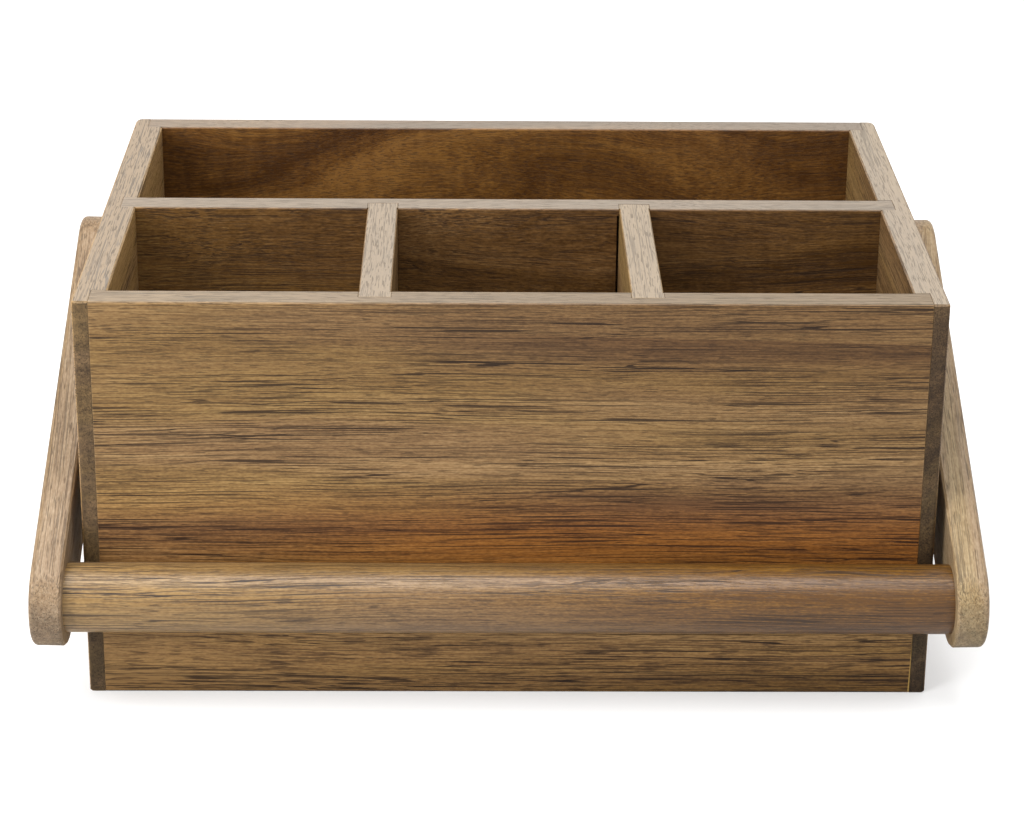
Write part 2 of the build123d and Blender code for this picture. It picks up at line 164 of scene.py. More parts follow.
def open_group(name, takes, gives):
    """A new shader group with its named inputs and outputs."""
    group = bpy.data.node_groups.new(name, "ShaderNodeTree")
    for label, kind, value in takes:
        socket = group.interface.new_socket(label, in_out="INPUT", socket_type=kind)
        socket.default_value = value
    for label, kind in gives:
        group.interface.new_socket(label, in_out="OUTPUT", socket_type=kind)
    inside = group.nodes.new("NodeGroupInput").outputs
    return group, inside, group.nodes.new("NodeGroupOutput").inputs


# the wood itself: growth rings round a pith, heartwood bands, dark fibre lines and open pores
acacia_grain, wood_in, wood_out = open_group(
    "acacia_grain",
    [
        ("Turn", "NodeSocketVector", (0, 0, 0)),
        ("Shift", "NodeSocketVector", (0, 0, 0)),
        ("Pith", "NodeSocketVector", (0, 0.03, 0.08)),
        ("Pale", "NodeSocketColor", (0.265, 0.165, 0.068, 1)),
        ("Mid", "NodeSocketColor", (0.172, 0.098, 0.037, 1)),
        ("Dark", "NodeSocketColor", (0.086, 0.044, 0.016, 1)),
        ("Line", "NodeSocketColor", (0.018, 0.008, 0.003, 1)),
        ("Bands", "NodeSocketFloat", 1.0),
        ("Tone", "NodeSocketFloat", 0.5),
        ("Drift", "NodeSocketFloat", 0.0),
        ("Lines", "NodeSocketFloat", 1.0),
        ("Pores", "NodeSocketFloat", 1.0),
        ("Figure", "NodeSocketFloat", 1.0),
        ("End Shade", "NodeSocketFloat", 0.5),
        ("Dry Top", "NodeSocketFloat", 0.0),
        ("Dry Colour", "NodeSocketColor", (0.275, 0.235, 0.188, 1)),
        ("Satin", "NodeSocketFloat", 0.42),
    ],
    [("Color", "NodeSocketColor"), ("Roughness", "NodeSocketFloat"), ("Height", "NodeSocketFloat")],
)
t = acacia_grain
here = fitted(t, "ShaderNodeTexCoord", {})
board_feeds = {"Vector": here.outputs["Object"], "Rotation": wood_in["Turn"],
               "Location": wood_in["Shift"]}
in_board = fitted(t, "ShaderNodeMapping", board_feeds).outputs[0]
facing_feeds = {"Vector": here.outputs["Normal"], "Rotation": wood_in["Turn"]}
facing = fitted(t, "ShaderNodeMapping", facing_feeds, vector_type="VECTOR").outputs[0]

SLOW_WANDER, QUICK_WANDER = 0.010, 0.0010  # how far the fibres stray, in metres


def of_vectors(tree, operation, first, second):
    """One step of arithmetic on vectors; gives the socket with its result."""
    feeds = {0: first, "Scale" if operation == "SCALE" else 1: second}
    return fitted(tree, "ShaderNodeVectorMath", feeds, operation=operation).outputs[0]


def stray(noise, reach):
    """The way a fibre strays by one noise, this far where the figure is 1."""
    way = of_vectors(t, "SUBTRACT", noise.outputs["Color"], (0.5, 0.5, 0.5))
    return of_vectors(t, "SCALE", way, sum_up(t, "MULTIPLY", wood_in["Figure"], reach))


slow_step = stray(fleck(t, in_board, 5, 16, 3.1, 1.5), SLOW_WANDER)
quick_step = stray(fleck(t, in_board, 22, 60, 8.3, 1.0), QUICK_WANDER)
wandered = of_vectors(t, "ADD", in_board, of_vectors(t, "ADD", slow_step, quick_step))

# distance from the pith, so that faces, edges and end grain belong to one log
from_pith = of_vectors(t, "SUBTRACT", wandered, wood_in["Pith"])
ring_plane = of_vectors(t, "MULTIPLY", from_pith, (0, 1, 1))
ring = fitted(t, "ShaderNodeVectorMath", {0: ring_plane}, operation="LENGTH").outputs["Value"]
grain_x = fitted(t, "ShaderNodeSeparateXYZ", {0: wandered}).outputs[0]
log_place = fitted(t, "ShaderNodeCombineXYZ", {0: grain_x, 1: ring, 2: 0.0}).outputs[0]

wide = fleck(t, log_place, 1.6, 24, 1.4, 2.0, 0.5).outputs["Fac"]
bands = fleck(t, log_place, 3.0, 95, 5.2, 3.0, 0.6).outputs["Fac"]
latewood = fleck(t, log_place, 5.0, 420, 7.7, 2.0, 0.55).outputs["Fac"]
fibres = fleck(t, wandered, 24, 1500, 2.2, 2.0, 0.65).outputs["Fac"]
hairs = fleck(t, wandered, 4.5, 500, 9.6, 0.0, 0.5).outputs["Fac"]
fine_hairs = fleck(t, wandered, 6, 900, 3.8, 0.0, 0.5).outputs["Fac"]
breaks = fleck(t, wandered, 11, 460, 1.9, 1.0, 0.5).outputs["Fac"]
dashes = fleck(t, wandered, 16, 2000, 7.1, 0.0, 0.5).outputs["Fac"]
speckle = fleck(t, wandered, 520, 1500, 8.8, 1.0, 0.6).outputs["Fac"]
cast = fleck(t, log_place, 4, 70, 12.4, 2.0, 0.5).outputs["Fac"]
pores = fleck(t, wandered, 150, 2600, 4.9, 0.0, 0.5).outputs["Fac"]
patches = fleck(t, wandered, 8, 110, 6.3, 2.0, 0.55).outputs["Fac"]
ripple = fleck(t, in_board, 210, 55, 5.5, 1.0, 0.5).outputs["Fac"]

WIDE_PART, BAND_PART, LATE_PART = 1.7, 1.3, 0.5
FINE_PART, SPECKLE_PART, RIPPLE_PART = 1.2, 0.9, 0.12


def swing(noise, size):
    """A noise as steps up and down from nothing, of this size."""
    return sum_up(t, "MULTIPLY", sum_up(t, "SUBTRACT", noise, 0.5), size)


# tone is 0 in the darkest wood and 1 in the palest
tone = sum_up(t, "ADD", swing(wide, WIDE_PART), swing(bands, BAND_PART))
tone = sum_up(t, "ADD", tone, swing(latewood, LATE_PART))
tone = sum_up(t, "MULTIPLY_ADD", tone, wood_in["Bands"], wood_in["Tone"])
board_x = fitted(t, "ShaderNodeSeparateXYZ", {0: here.outputs["Object"]}).outputs[0]
tone = sum_up(t, "MULTIPLY_ADD", board_x, wood_in["Drift"], tone)
tone = sum_up(t, "ADD", tone, swing(fibres, FINE_PART))
tone = sum_up(t, "ADD", tone, swing(speckle, SPECKLE_PART))
tone = sum_up(t, "MULTIPLY_ADD", swing(ripple, RIPPLE_PART), wood_in["Figure"], tone, clamp=True)
darker = stretch(t, tone, 0.0, 0.5, 0, 1, "LINEAR")
paler = stretch(t, tone, 0.5, 1.0, 0, 1, "LINEAR")
timber = blend_of(t, darker, wood_in["Dark"], wood_in["Mid"])
timber = blend_of(t, paler, timber, wood_in["Pale"])
GOLDEN_CAST, ROSY_CAST = (1.01, 1.00, 0.88, 1), (1.00, 0.985, 1.06, 1)
golden = blend_of(t, 1.0, timber, GOLDEN_CAST, "MULTIPLY")
rosy = blend_of(t, 1.0, timber, ROSY_CAST, "MULTIPLY")
timber = blend_of(t, stretch(t, cast, 0.36, 0.62), golden, rosy)

# where the surface is end grain the lines fade out
end = fitted(t, "ShaderNodeSeparateXYZ", {0: facing}).outputs[0]
end = stretch(t, sum_up(t, "ABSOLUTE", end), 0.55, 0.85)

# hair lines run along level curves of a long noise, in crowds, each broken here and there
crowd = stretch(t, patches, 0.35, 0.56, 0.2, 1.0)
frayed = swing(fibres, 0.14)
off_level = sum_up(t, "ABSOLUTE", sum_up(t, "SUBTRACT", sum_up(t, "ADD", hairs, frayed), 0.5))
hair_lines = stretch(t, off_level, 0.012, 0.021, 1.0, 0.0)
hair_lines = sum_up(t, "MULTIPLY", hair_lines, stretch(t, breaks, 0.44, 0.53))
fine_off = sum_up(t, "ABSOLUTE", sum_up(t, "SUBTRACT", fine_hairs, 0.52))
fine_lines = stretch(t, fine_off, 0.012, 0.030, 0.85, 0.0)
fine_lines = sum_up(t, "MULTIPLY", fine_lines, stretch(t, breaks, 0.56, 0.47))
dash_lines = stretch(t, dashes, 0.62, 0.67, 0.0, 0.85)
drawn = sum_up(t, "MAXIMUM", sum_up(t, "MAXIMUM", hair_lines, fine_lines), dash_lines)
drawn = sum_up(t, "MULTIPLY", drawn, crowd)
drawn = sum_up(t, "MULTIPLY", drawn, wood_in["Lines"], clamp=True)
drawn = sum_up(t, "MULTIPLY", drawn, sum_up(t, "MULTIPLY_ADD", end, -0.9, 1.0))
pricks = sum_up(t, "MULTIPLY", stretch(t, pores, 0.62, 0.68), wood_in["Pores"], clamp=True)
drawn = sum_up(t, "MAXIMUM", drawn, sum_up(t, "MULTIPLY", pricks, 0.55))
timber = blend_of(t, sum_up(t, "MULTIPLY", drawn, 0.95), timber, wood_in["Line"])

# sanded top edges are drier and paler than the oiled faces; the paler, greyer tops are also painted
# sheen of the overhead light
up_face = fitted(t, "ShaderNodeSeparateXYZ", {0: here.outputs["Normal"]}).outputs[2]
dry = sum_up(t, "MULTIPLY", stretch(t, up_face, 0.6, 0.95), wood_in["Dry Top"])
top_dashes = sum_up(t, "MULTIPLY", stretch(t, dashes, 0.64, 0.70), 0.3)
top_pores = sum_up(t, "MULTIPLY", stretch(t, pores, 0.61, 0.66), 0.5)
top_marks = sum_up(t, "MAXIMUM", top_dashes, top_pores)
dry_and_sheen_timber = blend_of(t, 0.25, wood_in["Dry Colour"], timber)
TOP_PORE = (0.088, 0.066, 0.046, 1)
dry_and_sheen_timber = blend_of(t, top_marks, dry_and_sheen_timber, TOP_PORE)
timber = blend_of(t, dry, timber, dry_and_sheen_timber)

# end grain drinks more oil: darker, duller, dotted with cut pores
dots = fleck(t, in_board, 900, 900, 3.3, 2.0, 0.6).outputs["Fac"]
blots = fleck(t, in_board, 130, 130, 6.6, 2.0, 0.6).outputs["Fac"]
dot_part = sum_up(t, "MULTIPLY", stretch(t, dots, 0.35, 0.65, 0.72, 1.15, "LINEAR"),
                  stretch(t, blots, 0.35, 0.65, 0.75, 1.2, "LINEAR"))
# painted shade: end grain darker towards the foot, where the bar and arms shade it
board_z = fitted(t, "ShaderNodeSeparateXYZ", {0: here.outputs["Object"]}).outputs[2]
shade_toward_foot = stretch(t, board_z, 0.0, 0.15, 0.72, 1.2, "LINEAR")
end_shade = sum_up(t, "MULTIPLY", sum_up(t, "MULTIPLY", dot_part, shade_toward_foot), wood_in["End Shade"])
end_feeds = {"Saturation": 0.95, "Value": end_shade, "Color": timber}
end_dark = fitted(t, "ShaderNodeHueSaturation", end_feeds).outputs[0]
timber = blend_of(t, end, timber, end_dark)
t.links.new(timber, wood_out["Color"])

rough = sum_up(t, "MULTIPLY_ADD", drawn, 0.22, wood_in["Satin"])
rough = sum_up(t, "MULTIPLY_ADD", end, 0.2, rough)
rough = sum_up(t, "MULTIPLY_ADD", dry, 0.08, rough, clamp=True)
t.links.new(rough, wood_out["Roughness"])
height = sum_up(t, "MULTIPLY", drawn, -1.0)
height = sum_up(t, "ADD", swing(fibres, 0.5), height)
height = sum_up(t, "MULTIPLY_ADD", sum_up(t, "MULTIPLY", dots, end), -0.8, height)
t.links.new(height, wood_out["Height"])

# eased edges: the long edges of a square board, rubbed thin and a little paler, partly as a painted
# highlight where they catch the light
eased_edges_worn_and_lit, edge_in, edge_out = open_group(
    "eased_edges_worn_and_lit",
    [
        ("Low Corner", "NodeSocketVector", (0, 0, 0)),
        ("High Corner", "NodeSocketVector", (1, 1, 1)),
        ("Reach", "NodeSocketFloat", 0.0008),
        ("Color", "NodeSocketColor", (0.2, 0.1, 0.05, 1)),
        ("Rubbed And Lit", "NodeSocketColor", (0.42, 0.33, 0.23, 1)),
        ("Strength", "NodeSocketFloat", 0.5),
    ],
    [("Color", "NodeSocketColor")],
)
t = eased_edges_worn_and_lit
where = fitted(t, "ShaderNodeTexCoord", {}).outputs["Object"]
above_low = of_vectors(t, "SUBTRACT", where, edge_in["Low Corner"])
below_high = of_vectors(t, "SUBTRACT", edge_in["High Corner"], where)
nearest = of_vectors(t, "MINIMUM", above_low, below_high)
gap = fitted(t, "ShaderNodeSeparateXYZ", {0: nearest}).outputs
larger = sum_up(t, "MAXIMUM", gap[0], gap[1])
smaller = sum_up(t, "MINIMUM", gap[0], gap[1])
to_edge = sum_up(t, "MAXIMUM", smaller, sum_up(t, "MINIMUM", larger, gap[2]))
uneven_feeds = {"Vector": where, "Scale": 140.0, "Detail": 3.0}
uneven = fitted(t, "ShaderNodeTexNoise", uneven_feeds).outputs["Fac"]
reach = sum_up(t, "MULTIPLY", edge_in["Reach"], stretch(t, uneven, 0.3, 0.7, 0.5, 1.5, "LINEAR"))
worn_and_lit = stretch(t, sum_up(t, "DIVIDE", to_edge, reach), 0.3, 1.0, 1.0, 0.0)
share = sum_up(t, "MULTIPLY", worn_and_lit, edge_in["Strength"])
t.links.new(blend_of(t, share, edge_in["Color"], edge_in["Rubbed And Lit"]), edge_out["Color"])

ALONG_X, ALONG_Y, ALONG_Z = (1, 0, 0), (0, 1, 0), (0, 0, 1)
GRAIN_DEPTH = 0.00012
ARRIS, ARRIS_STEPS = 0.0003, 2


def cut_of_log(along, across):
    """The turn that brings a board's grain to X and its width to Y."""
    along, across = Vector(along).normalized(), Vector(across).normalized()
    return Matrix((along, across, along.cross(across))).to_euler()


def oiled_acacia(name, along, across, shift, gloss=0.22, **wood):
    """The wood of one board, with the grain group's own values for it."""
    finish = bpy.data.materials.new(name)
    finish.use_nodes = True
    tree = finish.node_tree
    shader = tree.nodes["Principled BSDF"]
    shader.inputs["Specular IOR Level"].default_value = gloss
    grain = fitted(tree, "ShaderNodeGroup", {}, node_tree=acacia_grain)
    grain.inputs["Turn"].default_value = cut_of_log(along, across)
    grain.inputs["Shift"].default_value = shift
    for label, value in wood.items():
        grain.inputs[label.replace("_", " ").title()].default_value = value
    tree.links.new(grain.outputs["Color"], shader.inputs["Base Color"])
    tree.links.new(grain.outputs["Roughness"], shader.inputs["Roughness"])
    relief_feeds = {"Height": grain.outputs["Height"], "Strength": 0.5, "Distance": GRAIN_DEPTH}
    relief = fitted(tree, "ShaderNodeBump", relief_feeds)
    tree.links.new(relief.outputs[0], shader.inputs["Normal"])
    return finish, tree, grain, shader


RUBBED_AND_LIT_REACH, RUBBED_AND_LIT_STRENGTH, RUBBED_AND_LIT_WOOD = 0.0005, 0.2, (0.28, 0.20, 0.12, 1)


def rub_and_light_edges(tree, colour, node):
    """Adds the rubbed edges of a square board, with their painted highlight, to its colour; gives
    the new colour.
    """
    low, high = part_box(node)
    feeds = {"Low Corner": low, "High Corner": high, "Reach": RUBBED_AND_LIT_REACH,
             "Strength": RUBBED_AND_LIT_STRENGTH, "Rubbed And Lit": RUBBED_AND_LIT_WOOD, "Color": colour}
    return fitted(tree, "ShaderNodeGroup", feeds, node_tree=eased_edges_worn_and_lit).outputs["Color"]


def wear(node, finish):
    """Gives a CAD node its finish."""
    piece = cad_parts[node]
    piece.data.materials.clear()
    piece.data.materials.append(finish)
    return piece


def soften(piece):
    """Rounds the arrises of a piece a little, as sanding does."""
    joined = piece.modifiers.new("joined", "WELD")
    joined.merge_threshold = 0.00001
    sanded = piece.modifiers.new("sanded", "BEVEL")
    sanded.width, sanded.segments = ARRIS, ARRIS_STEPS
    sanded.limit_method = "ANGLE"
    sanded.angle_limit = radians(40)
    sanded.use_clamp_overlap = False
    sanded.harden_normals = True


def board(node, along, across, shift, **wood):
    """A square board of oiled acacia with rubbed edges and their painted highlight, on its CAD
    node.
    """
    finish, tree, grain, shader = oiled_acacia(node + "_acacia", along, across, shift, **wood)
    colour = rub_and_light_edges(tree, grain.outputs["Color"], node)
    tree.links.new(colour, shader.inputs["Base Color"])
    soften(wear(node, finish))
    return tree, colour, shader


front_tree, front_colour, front_shader = board(
    "front_board", ALONG_X, ALONG_Z, (0.31, 0.12, 0.07), pith=(0, 0.30, 0.10), tone=0.59,
    bands=0.95, figure=0.6, drift=-0.8, lines=1.1, dry_top=0.85)
t = front_tree
front_place = fitted(t, "ShaderNodeTexCoord", {}).outputs["Object"]
front_way = fitted(t, "ShaderNodeSeparateXYZ", {0: front_place}).outputs
to_right, up = front_way[0], front_way[2]


def tinted(share, tint):
    """The front board's colour, multiplied by a tint where share is 1."""
    return blend_of(t, share, front_colour, tint, "MULTIPLY")


# a pale strip of sapwood under the rim, its edge falling to the right, above a dark band
SAPWOOD_EDGE, SAPWOOD_FALL, BAND_TINT = 0.148, -0.0225, (0.62, 0.53, 0.48, 1)
under_edge = sum_up(t, "SUBTRACT", SAPWOOD_EDGE, up)
under_edge = sum_up(t, "MULTIPLY_ADD", to_right, SAPWOOD_FALL, under_edge)
band = sum_up(t, "MULTIPLY", stretch(t, under_edge, 0.0, 0.0007),
              stretch(t, under_edge, 0.002, 0.022, 1.0, 0.0))
band = sum_up(t, "MULTIPLY", band, stretch(t, to_right, -0.06, 0.06, 0.0, 0.75))
front_colour = tinted(band, BAND_TINT)
# painted shade and painted warm reflection of the handle bar, darker and oranger, on the zone that
# the bar covers half, above the low strip
BAR_SHADE_TOP, BAR_SHADE_FULL, BAR_SHADE_TINT = 0.092, 0.066, (1.08, 0.69, 0.30, 1)
LOW_TOP, LOW_FULL, LOW_TINT = 0.050, 0.040, (1.15, 1.08, 0.88, 1)
low = stretch(t, up, LOW_TOP, LOW_FULL)
bar_shade_and_reflection = sum_up(t, "MULTIPLY", stretch(t, up, BAR_SHADE_TOP, BAR_SHADE_FULL),
              stretch(t, to_right, -0.16, 0.02, 0.3, 0.9))
bar_shade_and_reflection = sum_up(t, "MULTIPLY", bar_shade_and_reflection, sum_up(t, "SUBTRACT", 1.0, low))
front_colour = tinted(bar_shade_and_reflection, BAR_SHADE_TINT)
# the board is palest across its middle, most at the left
MIDDLE_TOP, MIDDLE_FULL, MIDDLE_TINT = 0.115, 0.085, (1.20, 1.22, 1.22, 1)
middle = sum_up(t, "MULTIPLY", stretch(t, up, MIDDLE_TOP, MIDDLE_FULL),
                stretch(t, to_right, -0.15, 0.15, 1.0, 0.5))
middle = sum_up(t, "MULTIPLY", middle, sum_up(t, "SUBTRACT", 1.0, low))
front_colour = tinted(middle, MIDDLE_TINT)
# the upper part is browner, most at the right, and the foot is darker
UPPER_FOOT, UPPER_FULL, UPPER_TINT = 0.100, 0.145, (0.77, 0.73, 0.65, 1)
FOOT_TOP, FOOT_TINT = 0.018, (0.55, 0.52, 0.50, 1)
upper = sum_up(t, "MULTIPLY", stretch(t, up, UPPER_FOOT, UPPER_FULL),
               stretch(t, to_right, -0.15, 0.15, 0.5, 1.0))
front_colour = tinted(upper, UPPER_TINT)
front_colour = tinted(low, LOW_TINT)
front_colour = tinted(stretch(t, up, FOOT_TOP, 0.0, 0.0, 0.8), FOOT_TINT)
# coarse dark flecks in the low strip
COARSE_TINT = (0.40, 0.36, 0.34, 1)
coarse = fleck(t, front_place, 70, 620, 3.7, 2.0, 0.5).outputs["Fac"]
coarse = sum_up(t, "MULTIPLY", stretch(t, coarse, 0.56, 0.64, 0.0, 0.7), low)
front_colour = tinted(coarse, COARSE_TINT)
# a thread of dried glue low in the right joint, widest at the foot
GLUE_HIGH, GLUE_WIDE, GLUE_COLOUR = 0.024, 0.0009, (0.42, 0.27, 0.075, 1)
joint_gap = sum_up(t, "SUBTRACT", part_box("front_board")[1].x, to_right)
glue_reach = stretch(t, up, 0.0, GLUE_HIGH, GLUE_WIDE, 0.0001, "LINEAR")
glue = stretch(t, sum_up(t, "DIVIDE", joint_gap, glue_reach), 0.6, 1.0, 0.75, 0.0)
front_colour = blend_of(t, glue, front_colour, GLUE_COLOUR)
t.links.new(front_colour, front_shader.inputs["Base Color"])

# ---- Side panels ---------------------------------------------------------------------------
# Full-depth boards, grain from front to back, so that their dark end grain shows beside the
# front board. They are rabbeted for the front and back boards, and glued.
board("left_side", ALONG_Y, ALONG_Z, (1.7, 0.42, 0.2), tone=1.0, bands=0.9, dry_top=0.9,
      end_shade=0.33, pale=(0.315, 0.190, 0.078, 1), dry_colour=(0.232, 0.200, 0.166, 1))
board("right_side", ALONG_Y, ALONG_Z, (2.9, -0.61, 0.5), tone=0.50, bands=0.9, dry_top=0.95,
      end_shade=0.31, dry_colour=(0.305, 0.262, 0.208, 1))
# without the clamp a spike leaves the right panel; with it these two keep almost square arrises
for side in ("left_side", "right_side"):
    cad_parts[side].modifiers["sanded"].use_clamp_overlap = True

# ---- Back board and long divider -----------------------------------------------------------
# The back board has the liveliest figure. The long divider runs from side to side in housings.
board("back_board", ALONG_X, ALONG_Z, (5.3, 0.77, -0.4), pith=(0, 0.86, -0.34), tone=0.48,
      bands=1.7, figure=5.0, drift=-1.2, lines=0.35, dry_top=0.85, pale=(0.180, 0.084, 0.020, 1),
      mid=(0.100, 0.042, 0.009, 1), dark=(0.046, 0.017, 0.003, 1))
board("long_divider", ALONG_X, ALONG_Z, (8.9, -0.35, 0.3), pith=(0, -0.20, 0.36), tone=0.33,
      bands=1.2, figure=3.0, drift=-2.4, lines=0.9, dry_top=0.95, pale=(0.205, 0.115, 0.040, 1),
      mid=(0.118, 0.058, 0.017, 1), dark=(0.050, 0.022, 0.005, 1))

# ---- Small dividers ------------------------------------------------------------------------
# Short boards between the front board and the long divider, in housings at both ends.
for divider, shift in (("left_divider", (11.2, 0.9, 0.4)), ("right_divider", (13.7, -0.8, 0.1))):
    board(divider, ALONG_Y, ALONG_Z, shift, tone=0.72, lines=0.7, dry_top=0.95)

# ---- Compartment floor and base board ------------------------------------------------------
# Thin boards in grooves and rabbets, grain from side to side.
board("compartment_floor", ALONG_X, ALONG_Y, (17.1, 0.2, 0.3), tone=0.45)
board("base_board", ALONG_X, ALONG_Y, (19.4, 0.5, 0.6), tone=0.45)

# ---- Runners and drawer stop ---------------------------------------------------------------
# Strips glued to the base board and under the compartment floor.
board("left_runner", ALONG_Y, ALONG_X, (21.6, 0.1, 0.9), tone=0.5)
board("right_runner", ALONG_Y, ALONG_X, (23.8, 0.7, 0.2), tone=0.5)
board("drawer_stop", ALONG_X, ALONG_Z, (25.5, 0.3, 0.5), tone=0.5)

# ---- Drawer --------------------------------------------------------------------------------
# A front board with a finger notch, sides and a rear board let into each other, and a thin
# bottom panel in grooves.
board("drawer_front", ALONG_X, ALONG_Z, (28.3, 0.15, -0.2), tone=0.52, dry_top=0.3)
board("drawer_left_side", ALONG_Y, ALONG_Z, (30.9, 0.6, 0.3), tone=0.6, dry_top=0.5)
board("drawer_right_side", ALONG_Y, ALONG_Z, (33.1, -0.4, 0.7), tone=0.6, dry_top=0.5)
board("drawer_rear_board", ALONG_X, ALONG_Z, (35.7, 0.8, 0.2), tone=0.55, dry_top=0.5)
board("drawer_bottom", ALONG_X, ALONG_Y, (38.2, -0.3, 0.4), tone=0.62)

# ---- Handle bar ----------------------------------------------------------------------------
# Turned from one square of pale acacia, sanded smooth, with a tenon at each end.
bar_finish, bar_tree, bar_grain, bar_shader = oiled_acacia(
    "handle_bar_acacia", ALONG_X, ALONG_Z, (41.0, 0.2, 0.35), gloss=0.42, tone=0.36,
    pith=(0, 0.25, 0.42), bands=0.8, drift=-1.4, satin=0.31)
bar_place = fitted(bar_tree, "ShaderNodeTexCoord", {}).outputs["Object"]
bar_x = fitted(bar_tree, "ShaderNodeSeparateXYZ", {0: bar_place}).outputs[0]
RIGHT_TINT = (0.96, 0.79, 0.34, 1)
bar_colour = blend_of(bar_tree, stretch(bar_tree, bar_x, -0.05, 0.12), bar_grain.outputs["Color"],
                      RIGHT_TINT, "MULTIPLY")
bar_tree.links.new(bar_colour, bar_shader.inputs["Base Color"])
wear("handle_bar", bar_finish)

# ---- Handle arms ---------------------------------------------------------------------------
# Round-ended bars of board, grain along their length, so that the round ends show end grain.
PIVOT = Vector((0, 0.016, 0.129))
BAR_CENTRE = Vector((0, -0.1237, 0.0474))
arm_way = (BAR_CENTRE - PIVOT).normalized()
arm_width = arm_way.cross(Vector(ALONG_X))
# the right arm's paler tone is painted light, standing in for a light from the right
for arm, shift, arm_tone_and_light in (
        ("left_arm", (44.0, 0.3, 0.1), 0.57), ("right_arm", (47.0, -0.2, 0.6), 0.80)):
    arm_finish = oiled_acacia(
        arm + "_acacia", arm_way, arm_width, shift, gloss=0.32, tone=arm_tone_and_light, bands=0.5,
        lines=0.6, end_shade=0.93, satin=0.4, pale=(0.300, 0.222, 0.130, 1),
        mid=(0.215, 0.142, 0.072, 1), dark=(0.120, 0.070, 0.030, 1))[0]
    wear(arm, arm_finish)

# ---- Pivot bolts ---------------------------------------------------------------------------
# Zinc-plated steel shoulder bolts, one through each arm: a low domed head with a hex socket in
# the arm's pocket, a smooth shoulder that the arm turns on, and a cut thread.
SPOKES = 48


def hexagon(flat):
    """The outline of a hexagon with this half width across its flats, by angle."""
    return lambda angle: flat / cos((angle + radians(30)) % radians(60) - radians(30))


def cross(long, half_wide):
    """The outline of a cross recess, by angle."""
    def reach_of(angle):
        off_arm = abs((angle + radians(45)) % radians(90) - radians(45))
        return min(long, half_wide / max(sin(off_arm), 0.001))
    return reach_of


def threaded(start, end, core, crest, pitch, steps_of_pitch=8):
    """The rings of a cut thread: at each place, its outline by angle."""
    rings = []
    count = round((end - start) / pitch * steps_of_pitch)
    for step in range(count + 1):
        x = start + (end - start) * step / count
        def outline(angle, x=x):
            phase = (x / pitch - angle / radians(360)) % 1
            return core + (crest - core) * (1 - abs(2 * phase - 1))
        rings.append((x, outline))
    return rings


def turned(name, rings, closed=False):
    """A mesh round the X axis through rings of (x, radius or outline by angle)."""
    points, faces = [], []
    for x, outline in rings:
        for spoke in range(SPOKES):
            angle = radians(360) * spoke / SPOKES
            radius = outline(angle) if callable(outline) else outline
            points.append((x, radius * cos(angle), radius * sin(angle)))
    last = len(rings) if closed else len(rings) - 1
    for ring in range(last):
        here_at, next_at = ring * SPOKES, (ring + 1) % len(rings) * SPOKES
        for spoke in range(SPOKES):
            beside = (spoke + 1) % SPOKES
            faces.append((here_at + spoke, here_at + beside, next_at + beside, next_at + spoke))
    if not closed:
        faces.append(tuple(range(SPOKES))[::-1])
        faces.append(tuple(range((len(rings) - 1) * SPOKES, len(rings) * SPOKES)))
    shape = bpy.data.meshes.new(name)
    shape.from_pydata(points, [], faces)
    outward = bmesh.new()
    outward.from_mesh(shape)
    bmesh.ops.recalc_face_normals(outward, faces=outward.faces)
    outward.to_mesh(shape)
    outward.free()
    return shape


# a fastener is turned once, and this tree sets one on each end of its axis
pair_of = bpy.data.node_groups.new("pair_of_fasteners", "GeometryNodeTree")
socket_of = pair_of.interface.new_socket
socket_of("Fastener", in_out="INPUT", socket_type="NodeSocketGeometry")
axis_socket = socket_of("Axis Place", in_out="INPUT", socket_type="NodeSocketVector")
finish_socket = socket_of("Finish", in_out="INPUT", socket_type="NodeSocketMaterial")
socket_of("Pair", in_out="OUTPUT", socket_type="NodeSocketGeometry")
pair_in = pair_of.nodes.new("NodeGroupInput").outputs
point_feeds = {"Count": 2, "Position": pair_in["Axis Place"]}
ends = fitted(pair_of, "GeometryNodePoints", point_feeds).outputs[0]
which = fitted(pair_of, "GeometryNodeInputIndex", {}).outputs[0]
turn_feeds = {0: which, 1: radians(180)}
half_turn = fitted(pair_of, "ShaderNodeMath", turn_feeds, operation="MULTIPLY").outputs[0]
facing_out = fitted(pair_of, "ShaderNodeCombineXYZ", {2: half_turn}).outputs[0]
both_feeds = {"Points": ends, "Instance": pair_in["Fastener"], "Rotation": facing_out}
both = fitted(pair_of, "GeometryNodeInstanceOnPoints", both_feeds).outputs[0]
solid = fitted(pair_of, "GeometryNodeRealizeInstances", {"Geometry": both}).outputs[0]
plated_feeds = {"Geometry": solid, "Material": pair_in["Finish"]}
plated = fitted(pair_of, "GeometryNodeSetMaterial", plated_feeds).outputs[0]
pair_of.links.new(plated, pair_of.nodes.new("NodeGroupOutput").inputs[0])


def fasten(name, shape, axis_place, finish, node, body):
    """Sets a pair of turned fasteners in place of their CAD node, riding on a body."""
    blank = bpy.data.objects.new(name + "_blank", shape)
    bpy.context.collection.objects.link(blank)
    pairing = blank.modifiers.new("pairing", "NODES")
    pairing.node_group = pair_of
    pairing[axis_socket.identifier] = axis_place
    pairing[finish_socket.identifier] = finish
    graph = bpy.context.evaluated_depsgraph_get()
    both_ends = bpy.data.meshes.new_from_object(blank.evaluated_get(graph))
    bpy.data.objects.remove(blank)
    pair = bpy.data.objects.new(name, both_ends)
    bpy.context.collection.objects.link(pair)
    for face in both_ends.polygons:
        face.use_smooth = True
    both_ends.set_sharp_from_angle(angle=radians(35))
    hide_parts(node)
    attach(pair, body)


